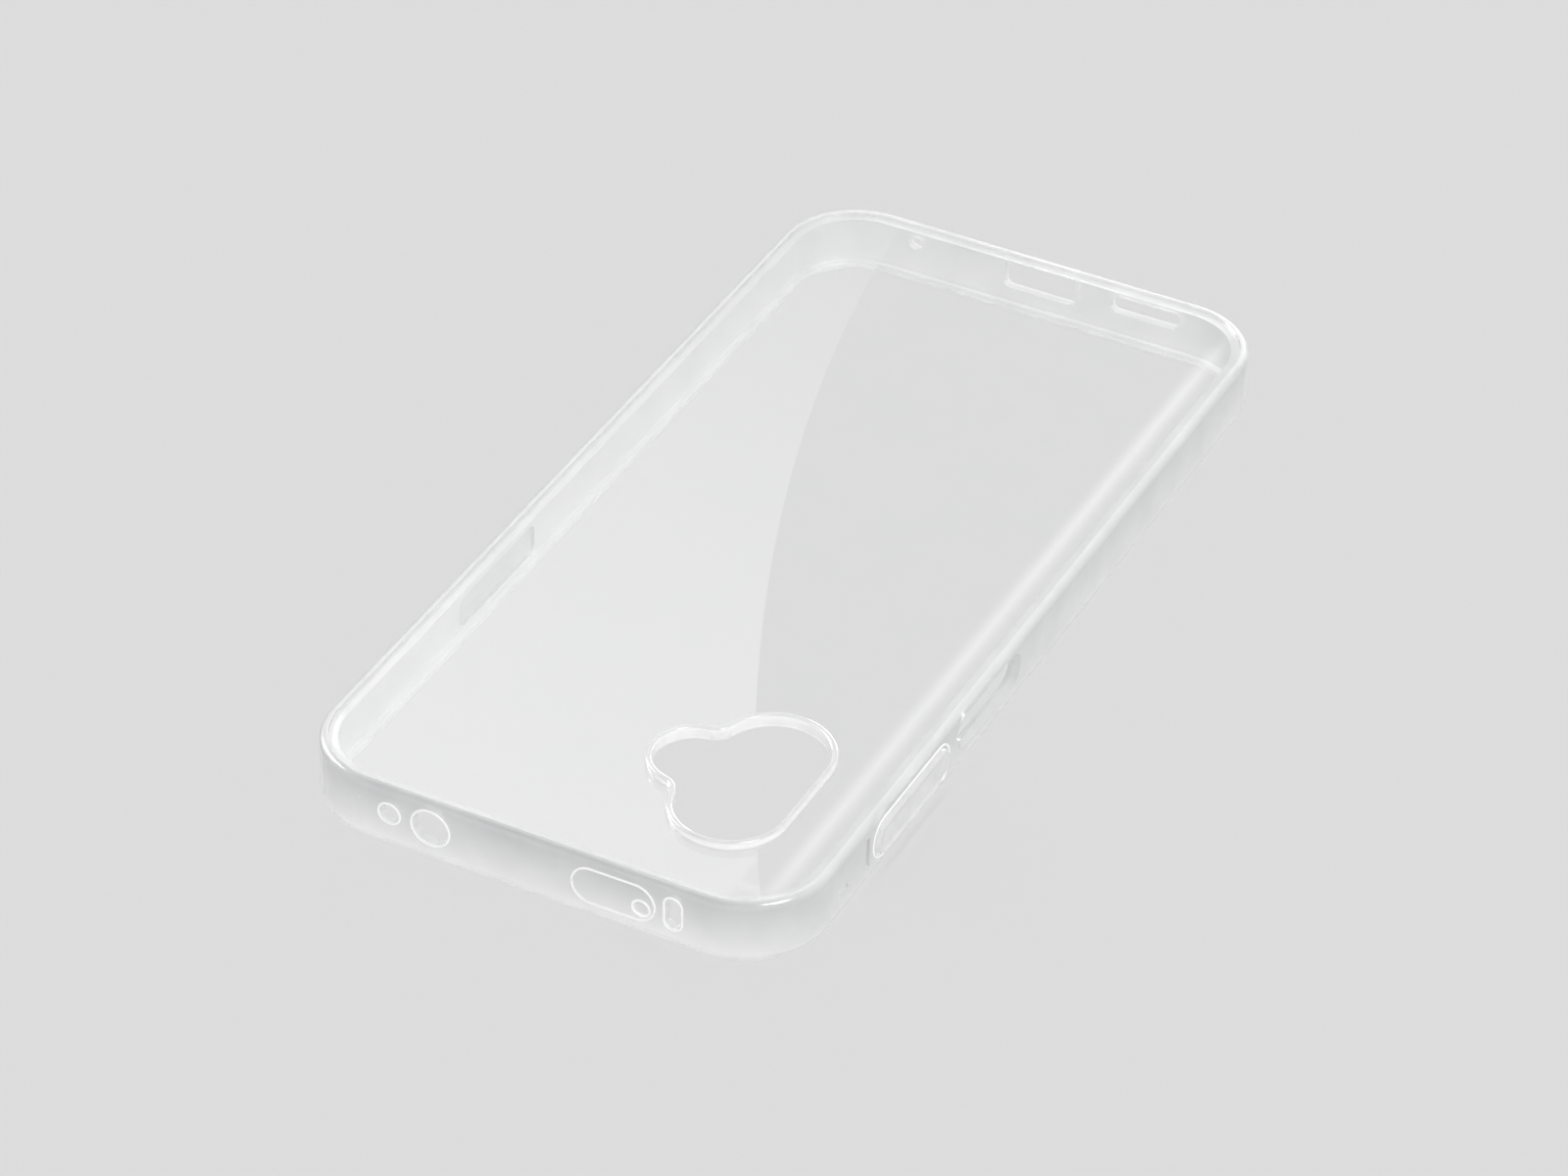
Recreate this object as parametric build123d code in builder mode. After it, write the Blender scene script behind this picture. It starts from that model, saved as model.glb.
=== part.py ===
from build123d import *
from math import atan2, degrees
import os

os.makedirs("parts", exist_ok=True)

# Clear protective case for one slab phone.
# The back faces up and the open, screen side faces down; the case rests on its rim.
# +X is the side with the buttons, -Y is the end with the camera, +Z is the back.

# ---- overall size ----
case_w = 78.0
case_l = 162.0
case_h = 10.4
corner_r = 12.8

# ---- walls of the soft frame ----
wall_t = 1.5
lip_h = 1.0
lip_inset = 2.5
top_round = 1.0
bottom_round = 2.0
cove_r = 1.2
inner_w = case_w - 2 * wall_t
inner_l = case_l - 2 * wall_t
inner_r = corner_r - wall_t
screen_w = case_w - 2 * lip_inset
screen_l = case_l - 2 * lip_inset
screen_r = corner_r - lip_inset

# ---- hard back sheet ----
panel_t = 1.2
panel_inset = 1.25
panel_chamfer = 0.15
panel_w = case_w - 2 * panel_inset
panel_l = case_l - 2 * panel_inset
panel_r = corner_r - panel_inset
panel_z = case_h - panel_t

# ---- camera opening: two large lobes, and a small one towards the middle ----
lobe_r = 8.0
lobe_x = 20.4
lobe_far_y = -49.1
lobe_near_y = -61.8
small_lobe_r = 6.0
small_lobe_x = 11.2
small_lobe_y = -54.9
lobe_blend = 3.2
ring_sleeve = 0.5
ring_flange = 0.9
ring_h = 0.8
ring_round = 0.3

# ---- camera end wall (-Y) ----
end_hole_r = 1.5
end_hole_x = -22.4
end_hole_z = 6.2
jack_r = 2.8
jack_x = -15.9
jack_z = 6.1
pill_w = 12.8
pill_h = 6.0
pill_x = 12.6
pill_z = 5.8
pill_depth = 0.45
pill_bead = 0.35
dimple_r = 1.3
dimple_x = 16.9
dimple_z = 5.0
dimple_depth = 0.4
end_slot_w = 2.4
end_slot_h = 5.2
end_slot_x = 21.8
end_slot_z = 5.9

# ---- far end wall (+Y) ----
port_w = 12.2
port_h = 5.2
port_z = 6.0
port_corner = 1.2
speaker_w = 11.4
speaker_h = 3.0
speaker_x = 17.9
speaker_z = 6.1
mic_r = 1.1
mic_x = -21.6
mic_z = 6.3

# ---- button side wall (+X) ----
power_y = -19.0
power_len = 18.6
power_z = 6.5
power_h = 4.6
power_flare = 0.8
pad_y = -43.4
pad_len = 22.4
pad_z = 5.6
pad_h = 5.4
pad_proud = 0.6
pad_crown = 0.5
pad_gap = 0.25
pad_flange = 0.6
pad_flange_t = 0.4
pad_play = 0.15
pad_travel = 0.35
pad_web = 0.6
pocket_margin = 0.25
groove_y = -57.0
groove_w = 1.3
groove_h = 5.6
groove_z = 5.8
groove_depth = 0.45
nick_y = -64.2
nick_w = 2.8
nick_h = 1.1
nick_z = 4.7
nick_depth = 0.4

# ---- plain side wall (-X) ----
relief_y = -24.8
relief_len = 22.0
relief_z = 4.1
relief_h = 5.0
relief_depth = 0.5

# ---- derived ----
half_w = case_w / 2
half_l = case_l / 2
inner_x = half_w - wall_t
web_x = half_w - pad_web
flange_x = web_x - pad_play
pocket_len = pad_len + 2 * (pad_flange + pocket_margin)
pocket_h = pad_h + 2 * (pad_flange + pocket_margin)


far_lobe = Vector(lobe_x, lobe_far_y)
near_lobe = Vector(lobe_x, lobe_near_y)
small_lobe = Vector(small_lobe_x, small_lobe_y)


def waist_centre(big, side):
    """Centre of the hollow blend between a large lobe and the small one."""
    reach_big = lobe_r + lobe_blend
    reach_small = small_lobe_r + lobe_blend
    line = small_lobe - big
    along = (line.length**2 + reach_big**2 - reach_small**2) / (2 * line.length)
    away = (reach_big**2 - along**2) ** 0.5
    unit = line.normalized()
    return big + unit * along + Vector(-unit.Y, unit.X) * away * side


def bearing(start, end):
    """Direction from one point to another, in degrees from 0 to 360."""
    return degrees(atan2(end.Y - start.Y, end.X - start.X)) % 360


far_waist = waist_centre(far_lobe, -1)
near_waist = waist_centre(near_lobe, 1)


def camera_face(grow):
    """Outline of the camera opening, grown outwards by a distance."""
    big_r = lobe_r + grow
    small_r = small_lobe_r + grow
    waist_r = lobe_blend - grow
    far_end = bearing(far_lobe, far_waist)
    small_start = bearing(small_lobe, far_waist)
    small_end = bearing(small_lobe, near_waist)
    near_start = bearing(near_lobe, near_waist)
    far_waist_start = bearing(far_waist, far_lobe)
    far_waist_end = bearing(far_waist, small_lobe)
    near_waist_start = bearing(near_waist, small_lobe)
    near_waist_end = bearing(near_waist, near_lobe)
    far_turn = (far_waist_start - far_waist_end) % 360
    near_turn = (near_waist_start - near_waist_end) % 360
    side_far = far_lobe + Vector(big_r, 0)
    side_near = near_lobe + Vector(big_r, 0)
    outline = [
        CenterArc(far_lobe, big_r, 0, far_end),
        CenterArc(far_waist, waist_r, far_waist_start, -far_turn),
        CenterArc(small_lobe, small_r, small_start, small_end - small_start),
        CenterArc(near_waist, waist_r, near_waist_start, -near_turn),
        CenterArc(near_lobe, big_r, near_start, 360 - near_start),
        Line(side_near, side_far),
    ]
    return make_face(outline)


# The hollow that takes the phone, with a cove where the walls meet the back.
hollow = extrude(
    Plane.XY.offset(lip_h) * RectangleRounded(inner_w, inner_l, inner_r),
    amount=panel_z - lip_h,
)
hollow = fillet(hollow.edges().group_by(Axis.Z)[-1], cove_r)

end_plane = Plane((0, -half_l, 0), x_dir=(1, 0, 0), z_dir=(0, -1, 0))
far_plane = Plane((0, half_l, 0), x_dir=(1, 0, 0), z_dir=(0, -1, 0))
side_plane = Plane((half_w, 0, 0), x_dir=(0, 1, 0), z_dir=(1, 0, 0))
plain_plane = Plane((-inner_x, 0, 0), x_dir=(0, 1, 0), z_dir=(1, 0, 0))

# The power opening's cutter: a straight slot that flares outwards.
power_slot = extrude(
    side_plane.offset(0.5) * Pos(power_y, power_z) * SlotOverall(power_len, power_h),
    amount=-(wall_t + 1.5),
)
power_mouth = loft(
    [
        (
            side_plane.offset(-power_flare)
            * Pos(power_y, power_z)
            * SlotOverall(power_len, power_h)
        ).face(),
        (
            side_plane.offset(0.2)
            * Pos(power_y, power_z - 0.35)
            * SlotOverall(power_len + 2.6, power_h + 1.5)
        ).face(),
    ]
)


with BuildPart() as bumper_frame:
    with BuildSketch(Plane.XY):
        RectangleRounded(case_w, case_l, corner_r)
    extrude(amount=case_h)
    fillet(bumper_frame.edges().group_by(Axis.Z)[-1], top_round)
    fillet(bumper_frame.edges().group_by(Axis.Z)[0], bottom_round)
    # open the screen side, the phone's hollow and the seat for the back sheet
    with BuildSketch(Plane.XY):
        RectangleRounded(screen_w, screen_l, screen_r)
    extrude(amount=case_h, mode=Mode.SUBTRACT)
    add(hollow, mode=Mode.SUBTRACT)
    with BuildSketch(Plane.XY.offset(panel_z)):
        RectangleRounded(panel_w, panel_l, panel_r)
    extrude(amount=panel_t + 1.0, mode=Mode.SUBTRACT)
    # camera end: small hole, headphone hole, tray outline, slot
    with BuildSketch(end_plane.offset(0.5)):
        with Locations((end_hole_x, end_hole_z)):
            Circle(end_hole_r)
        with Locations((jack_x, jack_z)):
            Circle(jack_r)
        with Locations((end_slot_x, end_slot_z)):
            SlotOverall(end_slot_h, end_slot_w, rotation=90)
    extrude(amount=-(wall_t + 3.0), mode=Mode.SUBTRACT)
    with BuildSketch(end_plane):
        with Locations((pill_x, pill_z)):
            SlotOverall(pill_w, pill_h)
            SlotOverall(pill_w - 2 * pill_bead, pill_h - 2 * pill_bead, mode=Mode.SUBTRACT)
    extrude(amount=-pill_depth, mode=Mode.SUBTRACT)
    with BuildSketch(end_plane):
        with Locations((dimple_x, dimple_z)):
            Circle(dimple_r)
    extrude(amount=-dimple_depth, mode=Mode.SUBTRACT)
    # far end: charging port, loudspeaker slot, microphone hole
    with BuildSketch(far_plane.offset(-0.5)):
        with Locations((0, port_z)):
            RectangleRounded(port_w, port_h, port_corner)
        with Locations((speaker_x, speaker_z)):
            RectangleRounded(speaker_w, speaker_h, 1.0)
        with Locations((mic_x, mic_z)):
            Circle(mic_r)
    extrude(amount=wall_t + 3.0, mode=Mode.SUBTRACT)
    # button side: power opening, window and pocket for the pad, groove, nick
    add(power_slot, mode=Mode.SUBTRACT)
    add(power_mouth, mode=Mode.SUBTRACT)
    with BuildSketch(side_plane.offset(0.5)):
        with Locations((pad_y, pad_z)):
            SlotOverall(pad_len + 2 * pad_gap, pad_h + 2 * pad_gap)
    extrude(amount=-(wall_t + 1.0), mode=Mode.SUBTRACT)
    with BuildSketch(side_plane.offset(-pad_web)):
        with Locations((pad_y, pad_z)):
            SlotOverall(pocket_len, pocket_h)
    extrude(amount=-(wall_t - pad_web + 0.4), mode=Mode.SUBTRACT)
    with BuildSketch(side_plane):
        with Locations((groove_y, groove_z)):
            SlotOverall(groove_h, groove_w, rotation=90)
        with Locations((nick_y, nick_z)):
            SlotOverall(nick_w, nick_h)
    extrude(amount=-groove_depth, mode=Mode.SUBTRACT)
    # plain side: shallow relief inside the wall
    with BuildSketch(plain_plane.offset(-relief_depth)):
        with Locations((relief_y, relief_z)):
            RectangleRounded(relief_len, relief_h, 1.6)
    extrude(amount=relief_depth + 0.4, mode=Mode.SUBTRACT)
bumper_frame.part.label = "bumper_frame"
export_step(bumper_frame.part, "parts/bumper_frame.step")


with BuildPart() as back_panel:
    with BuildSketch(Plane.XY.offset(panel_z)):
        RectangleRounded(panel_w, panel_l, panel_r)
        add(camera_face(ring_sleeve), mode=Mode.SUBTRACT)
    extrude(amount=panel_t)
    rim = back_panel.faces().sort_by(Axis.Z)[-1].outer_wire().edges()
    chamfer(rim, panel_chamfer)
back_panel.part.label = "back_panel"
export_step(back_panel.part, "parts/back_panel.step")


with BuildPart() as camera_ring:
    with BuildSketch(Plane.XY.offset(panel_z)):
        add(camera_face(ring_sleeve))
    extrude(amount=panel_t)
    with BuildSketch(Plane.XY.offset(case_h)):
        add(camera_face(ring_flange))
    extrude(amount=ring_h)
    crown = camera_ring.faces().sort_by(Axis.Z)[-1].outer_wire().edges()
    fillet(crown, ring_round)
    with BuildSketch(Plane.XY.offset(panel_z - 0.5)):
        add(camera_face(0))
    extrude(amount=panel_t + ring_h + 1.0, mode=Mode.SUBTRACT)
camera_ring.part.label = "camera_ring"
export_step(camera_ring.part, "parts/camera_ring.step")


with BuildPart() as volume_pad:
    # inner flange that keeps the pad in its window
    with BuildSketch(Plane.YZ.offset(flange_x - pad_flange_t)):
        with Locations((pad_y, pad_z)):
            SlotOverall(pad_len + 2 * pad_flange, pad_h + 2 * pad_flange)
    extrude(amount=pad_flange_t)
    # the bar that comes through the wall
    with BuildSketch(Plane.YZ.offset(flange_x)):
        with Locations((pad_y, pad_z)):
            SlotOverall(pad_len, pad_h)
    extrude(amount=half_w + pad_proud - flange_x)
    fillet(volume_pad.faces().sort_by(Axis.X)[-1].edges(), pad_crown)
volume_pad.part.label = "volume_pad"
export_step(volume_pad.part, "parts/volume_pad.step")
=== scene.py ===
import bpy
import bmesh
import math
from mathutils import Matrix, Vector


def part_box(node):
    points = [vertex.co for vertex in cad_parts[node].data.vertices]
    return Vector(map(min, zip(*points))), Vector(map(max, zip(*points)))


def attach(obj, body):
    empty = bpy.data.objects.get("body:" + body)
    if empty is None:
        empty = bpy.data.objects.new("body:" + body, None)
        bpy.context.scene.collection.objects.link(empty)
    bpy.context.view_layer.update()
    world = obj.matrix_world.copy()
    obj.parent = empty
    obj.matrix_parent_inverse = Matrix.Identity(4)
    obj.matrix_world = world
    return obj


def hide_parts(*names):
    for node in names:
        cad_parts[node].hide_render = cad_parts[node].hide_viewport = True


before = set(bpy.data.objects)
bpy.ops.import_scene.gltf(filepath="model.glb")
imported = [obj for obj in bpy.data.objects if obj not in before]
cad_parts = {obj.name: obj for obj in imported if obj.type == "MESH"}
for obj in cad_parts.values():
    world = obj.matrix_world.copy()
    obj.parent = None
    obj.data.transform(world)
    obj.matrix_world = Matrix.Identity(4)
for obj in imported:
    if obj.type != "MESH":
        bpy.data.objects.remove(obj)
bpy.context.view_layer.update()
scene = bpy.context.scene
mm = 0.001

print("case: packed frame loaded")


def linkObject(name, data):
    made = bpy.data.objects.new(name, data)
    scene.collection.objects.link(made)
    return made


def discard(*things):
    for thing in things:
        bpy.data.objects.remove(thing, do_unlink=True)


def pathObject(name, loops, closed=True):
    # one poly spline for each loop of points
    curve = bpy.data.curves.new(name, "CURVE")
    curve.dimensions = "3D"
    for loop in loops:
        spline = curve.splines.new("POLY")
        spline.points.add(len(loop) - 1)
        for point, place in zip(spline.points, loop):
            point.co = (place[0], place[1], place[2], 1)
        spline.use_cyclic_u = closed
    return linkObject(name, curve)


def arcPoints(centreX, centreY, radius, start, end, steps):
    # angles in degrees, both ends included
    points = []
    for i in range(steps + 1):
        angle = math.radians(start + (end - start) * i / steps)
        points.append((centreX + radius * math.cos(angle), centreY + radius * math.sin(angle)))
    return points


def roundedOutline(width, length, radius, steps=14):
    x, y = width / 2 - radius, length / 2 - radius
    points = arcPoints(x, -y, radius, -90, 0, steps)
    points += arcPoints(x, y, radius, 0, 90, steps)
    points += arcPoints(-x, y, radius, 90, 180, steps)
    points += arcPoints(-x, -y, radius, 180, 270, steps)
    return points


def slotOutline(width, height, steps=10):
    return roundedOutline(width, height, min(width, height) / 2 - 1e-6, steps)


def bakeModifiers(piece, name):
    # the evaluated result becomes a plain mesh and the modifiers go
    graph = bpy.context.evaluated_depsgraph_get()
    mesh = bpy.data.meshes.new_from_object(piece.evaluated_get(graph), depsgraph=graph)
    mesh.name = name
    plain = linkObject(name, mesh)
    discard(piece)
    return plain


def cleanShell(piece, mergeGap=2e-6):
    shell = bmesh.new()
    shell.from_mesh(piece.data)
    bmesh.ops.remove_doubles(shell, verts=shell.verts, dist=mergeGap)
    bmesh.ops.dissolve_degenerate(shell, edges=shell.edges, dist=1e-7)
    bmesh.ops.recalc_face_normals(shell, faces=shell.faces)
    shell.to_mesh(piece.data)
    shell.free()


def smoothByAngle(piece, degreesKept=32):
    # rounded faces smooth, flat faces kept flat by area-weighted normals
    piece.data.polygons.foreach_set("use_smooth", [True] * len(piece.data.polygons))
    piece.data.set_sharp_from_angle(angle=math.radians(degreesKept))
    weighted = piece.modifiers.new("faceNormals", "WEIGHTED_NORMAL")
    weighted.keep_sharp = True
    weighted.weight = 100
    return bakeModifiers(piece, piece.name)


def solidFromLoops(name, loops):
    # closed solid: each loop of points is joined to the next, and both ends are capped
    solid = bmesh.new()
    rings = [[solid.verts.new(point) for point in loop] for loop in loops]
    solid.faces.new(rings[0])
    solid.faces.new(list(reversed(rings[-1])))
    for lower, upper in zip(rings, rings[1:]):
        for i in range(len(lower)):
            j = (i + 1) % len(lower)
            solid.faces.new((lower[i], upper[i], upper[j], lower[j]))
    bmesh.ops.recalc_face_normals(solid, faces=solid.faces)
    mesh = bpy.data.meshes.new(name)
    solid.to_mesh(mesh)
    solid.free()
    return linkObject(name, mesh)


def socketIds(tree):
    return {item.name: item.identifier for item in tree.interface.items_tree if item.in_out == "INPUT"}


def makeMouldedGroup():
    # uneven tone, roughness and a faint ripple, as moulded clear plastic has, with painted shade from the
    # mesh's attribute mixed into the tone
    tree = bpy.data.node_groups.new("mouldedPlastic", "ShaderNodeTree")
    face = tree.interface
    for name, kind, value in (
        ("Pale Tone", "NodeSocketColor", (1, 1, 1, 1)),
        ("Deep Tone", "NodeSocketColor", (0.8, 0.8, 0.8, 1)),
        ("Mottle Size", "NodeSocketFloat", 200.0),
        ("Grain Size", "NodeSocketFloat", 2500.0),
        ("Grain Share", "NodeSocketFloat", 0.2),
        ("Smooth", "NodeSocketFloat", 0.1),
        ("Matt", "NodeSocketFloat", 0.3),
        ("Ripple Size", "NodeSocketFloat", 60.0),
        ("Haze", "NodeSocketFloat", 0.5),
        ("Haze Share", "NodeSocketFloat", 0.0),
    ):
        made = face.new_socket(name=name, in_out="INPUT", socket_type=kind)
        made.default_value = value
    face.new_socket(name="Color", in_out="OUTPUT", socket_type="NodeSocketColor")
    face.new_socket(name="Roughness", in_out="OUTPUT", socket_type="NodeSocketFloat")
    face.new_socket(name="Height", in_out="OUTPUT", socket_type="NodeSocketFloat")
    add, join = tree.nodes.new, tree.links.new
    given, out = add("NodeGroupInput"), add("NodeGroupOutput")
    where = add("ShaderNodeTexCoord")
    mottle, grain, ripple = add("ShaderNodeTexNoise"), add("ShaderNodeTexNoise"), add("ShaderNodeTexNoise")
    for noise, size, detail in (
            (mottle, "Mottle Size", 3.0), (grain, "Grain Size", 2.0), (ripple, "Ripple Size", 1.0)):
        join(where.outputs["Object"], noise.inputs["Vector"])
        join(given.outputs[size], noise.inputs["Scale"])
        noise.inputs["Detail"].default_value = detail
    spread = add("ShaderNodeMapRange")
    spread.inputs["From Min"].default_value = 0.36
    spread.inputs["From Max"].default_value = 0.64
    join(mottle.outputs["Fac"], spread.inputs["Value"])
    blend = add("ShaderNodeMix")
    blend.data_type = "FLOAT"
    join(given.outputs["Grain Share"], blend.inputs["Factor"])
    join(spread.outputs["Result"], blend.inputs["A"])
    join(grain.outputs["Fac"], blend.inputs["B"])
    # painted shade: the attribute's level takes over the tone by the painted shade share
    paintedShadeMix = add("ShaderNodeMix")
    paintedShadeMix.data_type = "FLOAT"
    join(given.outputs["Haze Share"], paintedShadeMix.inputs["Factor"])
    join(blend.outputs["Result"], paintedShadeMix.inputs["A"])
    join(given.outputs["Haze"], paintedShadeMix.inputs["B"])
    tone = add("ShaderNodeMix")
    tone.data_type = "RGBA"
    toneIn = [s for s in tone.inputs if s.type == "RGBA"]
    toneOut = [s for s in tone.outputs if s.type == "RGBA"][0]
    join(paintedShadeMix.outputs["Result"], tone.inputs["Factor"])
    join(given.outputs["Deep Tone"], toneIn[0])
    join(given.outputs["Pale Tone"], toneIn[1])
    rough = add("ShaderNodeMapRange")
    join(blend.outputs["Result"], rough.inputs["Value"])
    join(given.outputs["Smooth"], rough.inputs["To Min"])
    join(given.outputs["Matt"], rough.inputs["To Max"])
    join(toneOut, out.inputs["Color"])
    join(rough.outputs["Result"], out.inputs["Roughness"])
    join(ripple.outputs["Fac"], out.inputs["Height"])
    return tree


mouldedGroup = makeMouldedGroup()
bumpDepth = 0.2 * mm
coatRoughness = 0.08


def makePlastic(name, look):
    material = bpy.data.materials.new(name)
    material.use_nodes = True
    tree = material.node_tree
    tree.nodes.clear()
    add, join = tree.nodes.new, tree.links.new
    moulded = add("ShaderNodeGroup")
    moulded.node_tree = mouldedGroup
    paintedShadeShare = look.get("paintedShadeShare", 0.0)
    for label, value in (
        ("Pale Tone", (*look["pale"], 1)),
        ("Deep Tone", (*look["deep"], 1)),
        ("Mottle Size", look["mottleSize"]),
        ("Grain Size", look["grainSize"]),
        ("Grain Share", look["grainShare"]),
        ("Smooth", look["smooth"]),
        ("Matt", look["matt"]),
        ("Ripple Size", look["rippleSize"]),
        ("Haze Share", paintedShadeShare),
    ):
        moulded.inputs[label].default_value = value
    # painted shade: the mesh's attribute sets the tone, low values painted darker towards the deep tone
    if paintedShadeShare:
        haze = add("ShaderNodeAttribute")
        haze.attribute_name = "haze"
        join(haze.outputs["Fac"], moulded.inputs["Haze"])
    plastic, bump = add("ShaderNodeBsdfPrincipled"), add("ShaderNodeBump")
    bump.inputs["Strength"].default_value = look["ripple"]
    bump.inputs["Distance"].default_value = bumpDepth
    join(moulded.outputs["Color"], plastic.inputs["Base Color"])
    join(moulded.outputs["Roughness"], plastic.inputs["Roughness"])
    join(moulded.outputs["Height"], bump.inputs["Height"])
    join(bump.outputs["Normal"], plastic.inputs["Normal"])
    for label, value in (
        ("Metallic", 0.0),
        ("IOR", look["ior"]),
        ("Transmission Weight", look["through"]),
        ("Coat Weight", look.get("coat", 0.0)),
        ("Coat Roughness", coatRoughness),
    ):
        plastic.inputs[label].default_value = value
    # light goes on through the plastic instead of stopping in a hard shadow
    rays, passes = add("ShaderNodeLightPath"), add("ShaderNodeMath")
    clear, either = add("ShaderNodeBsdfTransparent"), add("ShaderNodeMixShader")
    out = add("ShaderNodeOutputMaterial")
    clear.inputs["Color"].default_value = (1, 1, 1, 1)
    passes.operation = "MAXIMUM"
    join(rays.outputs["Is Shadow Ray"], passes.inputs[0])
    join(rays.outputs["Is Diffuse Ray"], passes.inputs[1])
    join(passes.outputs[0], either.inputs["Fac"])
    join(plastic.outputs["BSDF"], either.inputs[1])
    join(clear.outputs["BSDF"], either.inputs[2])
    join(either.outputs["Shader"], out.inputs["Surface"])
    return material


# pale and deep tones, sizes as noise scales, smooth to matt as roughness, through as light passed, and painted
# shade share as how much of the tone is painted shade
milkyFrame = makePlastic("milkyFrame", {
    "pale": (1.0, 1.0, 1.0), "deep": (0.58, 0.585, 0.59), "mottleSize": 160.0, "grainSize": 2200.0,
    "grainShare": 0.3, "smooth": 0.20, "matt": 0.28, "rippleSize": 90.0, "ripple": 0.015,
    "through": 0.40, "ior": 1.40, "coat": 0.8, "paintedShadeShare": 0.88})
clearSheet = makePlastic("clearSheet", {
    "pale": (1.0, 1.0, 1.0), "deep": (0.99, 0.993, 0.995), "mottleSize": 90.0, "grainSize": 1800.0,
    "grainShare": 0.25, "smooth": 0.0, "matt": 0.01, "rippleSize": 26.0, "ripple": 0.004,
    "through": 1.0, "ior": 1.5})
ringPlastic = makePlastic("ringPlastic", {
    "pale": (1.0, 1.0, 1.0), "deep": (0.64, 0.642, 0.645), "mottleSize": 420.0, "grainSize": 3000.0,
    "grainShare": 0.3, "smooth": 0.12, "matt": 0.2, "rippleSize": 140.0, "ripple": 0.02,
    "through": 0.30, "ior": 1.40, "coat": 0.9, "paintedShadeShare": 0.9})
padPlastic = makePlastic("padPlastic", {
    "pale": (0.84, 0.84, 0.84), "deep": (0.72, 0.723, 0.726), "mottleSize": 300.0, "grainSize": 2600.0,
    "grainShare": 0.4, "smooth": 0.18, "matt": 0.26, "rippleSize": 140.0, "ripple": 0.03,
    "through": 0.45, "ior": 1.42, "coat": 0.4})
beadPlastic = makePlastic("beadPlastic", {
    "pale": (1.0, 1.0, 1.0), "deep": (0.97, 0.972, 0.975), "mottleSize": 600.0, "grainSize": 3000.0,
    "grainShare": 0.3, "smooth": 0.14, "matt": 0.2, "rippleSize": 140.0, "ripple": 0.02,
    "through": 0.08, "ior": 1.45, "coat": 0.6})

print("case: finishes made")


def newSweepTree(name, sockets):
    tree = bpy.data.node_groups.new(name, "GeometryNodeTree")
    for label, kind in sockets:
        tree.interface.new_socket(name=label, in_out="INPUT", socket_type=kind)
    tree.interface.new_socket(name="Geometry", in_out="OUTPUT", socket_type="NodeSocketGeometry")
    return tree


def endSweep(tree, given, shape):
    # smooth, realized, with its material
    add, join = tree.nodes.new, tree.links.new
    smooth, real = add("GeometryNodeSetShadeSmooth"), add("GeometryNodeRealizeInstances")
    paint, out = add("GeometryNodeSetMaterial"), add("NodeGroupOutput")
    join(shape, smooth.inputs["Geometry"])
    join(smooth.outputs["Geometry"], real.inputs["Geometry"])
    join(real.outputs["Geometry"], paint.inputs["Geometry"])
    join(given.outputs["Material"], paint.inputs["Material"])
    join(paint.outputs["Geometry"], out.inputs["Geometry"])


def makeWallTree():
    # a wall section carried round a rounded rectangle of the given sizes
    tree = newSweepTree("wallRound", (
        ("Width", "NodeSocketFloat"), ("Length", "NodeSocketFloat"), ("Corner Radius", "NodeSocketFloat"),
        ("Corner Steps", "NodeSocketInt"), ("Section", "NodeSocketObject"), ("Material", "NodeSocketMaterial")))
    add, join = tree.nodes.new, tree.links.new
    given = add("NodeGroupInput")
    box, corners = add("GeometryNodeCurvePrimitiveQuadrilateral"), add("GeometryNodeFilletCurve")
    corners.mode = "POLY"
    upright = add("GeometryNodeSetCurveNormal")
    upright.mode = "Z_UP"
    section, sweep = add("GeometryNodeObjectInfo"), add("GeometryNodeCurveToMesh")
    join(given.outputs["Width"], box.inputs["Width"])
    join(given.outputs["Length"], box.inputs["Height"])
    join(box.outputs[0], corners.inputs["Curve"])
    join(given.outputs["Corner Radius"], corners.inputs["Radius"])
    join(given.outputs["Corner Steps"], corners.inputs["Count"])
    join(corners.outputs[0], upright.inputs["Curve"])
    join(upright.outputs[0], sweep.inputs["Curve"])
    join(given.outputs["Section"], section.inputs["Object"])
    join(section.outputs["Geometry"], sweep.inputs["Profile Curve"])
    endSweep(tree, given, sweep.outputs["Mesh"])
    return tree


def makeRimTree():
    # a section carried along drawn outlines, kept upright
    tree = newSweepTree("rimAlongOutline", (
        ("Outline", "NodeSocketObject"), ("Section", "NodeSocketObject"), ("Material", "NodeSocketMaterial")))
    add, join = tree.nodes.new, tree.links.new
    given = add("NodeGroupInput")
    outline, section = add("GeometryNodeObjectInfo"), add("GeometryNodeObjectInfo")
    upright, sweep = add("GeometryNodeSetCurveNormal"), add("GeometryNodeCurveToMesh")
    upright.mode = "Z_UP"
    join(given.outputs["Outline"], outline.inputs["Object"])
    join(given.outputs["Section"], section.inputs["Object"])
    join(outline.outputs["Geometry"], upright.inputs["Curve"])
    join(upright.outputs[0], sweep.inputs["Curve"])
    join(section.outputs["Geometry"], sweep.inputs["Profile Curve"])
    endSweep(tree, given, sweep.outputs["Mesh"])
    return tree


def makeBeadTree():
    # a round bead laid along every outline
    tree = newSweepTree("beadAlongOutline", (
        ("Outline", "NodeSocketObject"), ("Bead Radius", "NodeSocketFloat"), ("Bead Sides", "NodeSocketInt"),
        ("Material", "NodeSocketMaterial")))
    add, join = tree.nodes.new, tree.links.new
    given = add("NodeGroupInput")
    outline, ring = add("GeometryNodeObjectInfo"), add("GeometryNodeCurvePrimitiveCircle")
    sweep = add("GeometryNodeCurveToMesh")
    join(given.outputs["Outline"], outline.inputs["Object"])
    join(given.outputs["Bead Radius"], ring.inputs["Radius"])
    join(given.outputs["Bead Sides"], ring.inputs["Resolution"])
    join(outline.outputs["Geometry"], sweep.inputs["Curve"])
    join(ring.outputs["Curve"], sweep.inputs["Profile Curve"])
    endSweep(tree, given, sweep.outputs["Mesh"])
    return tree


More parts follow.
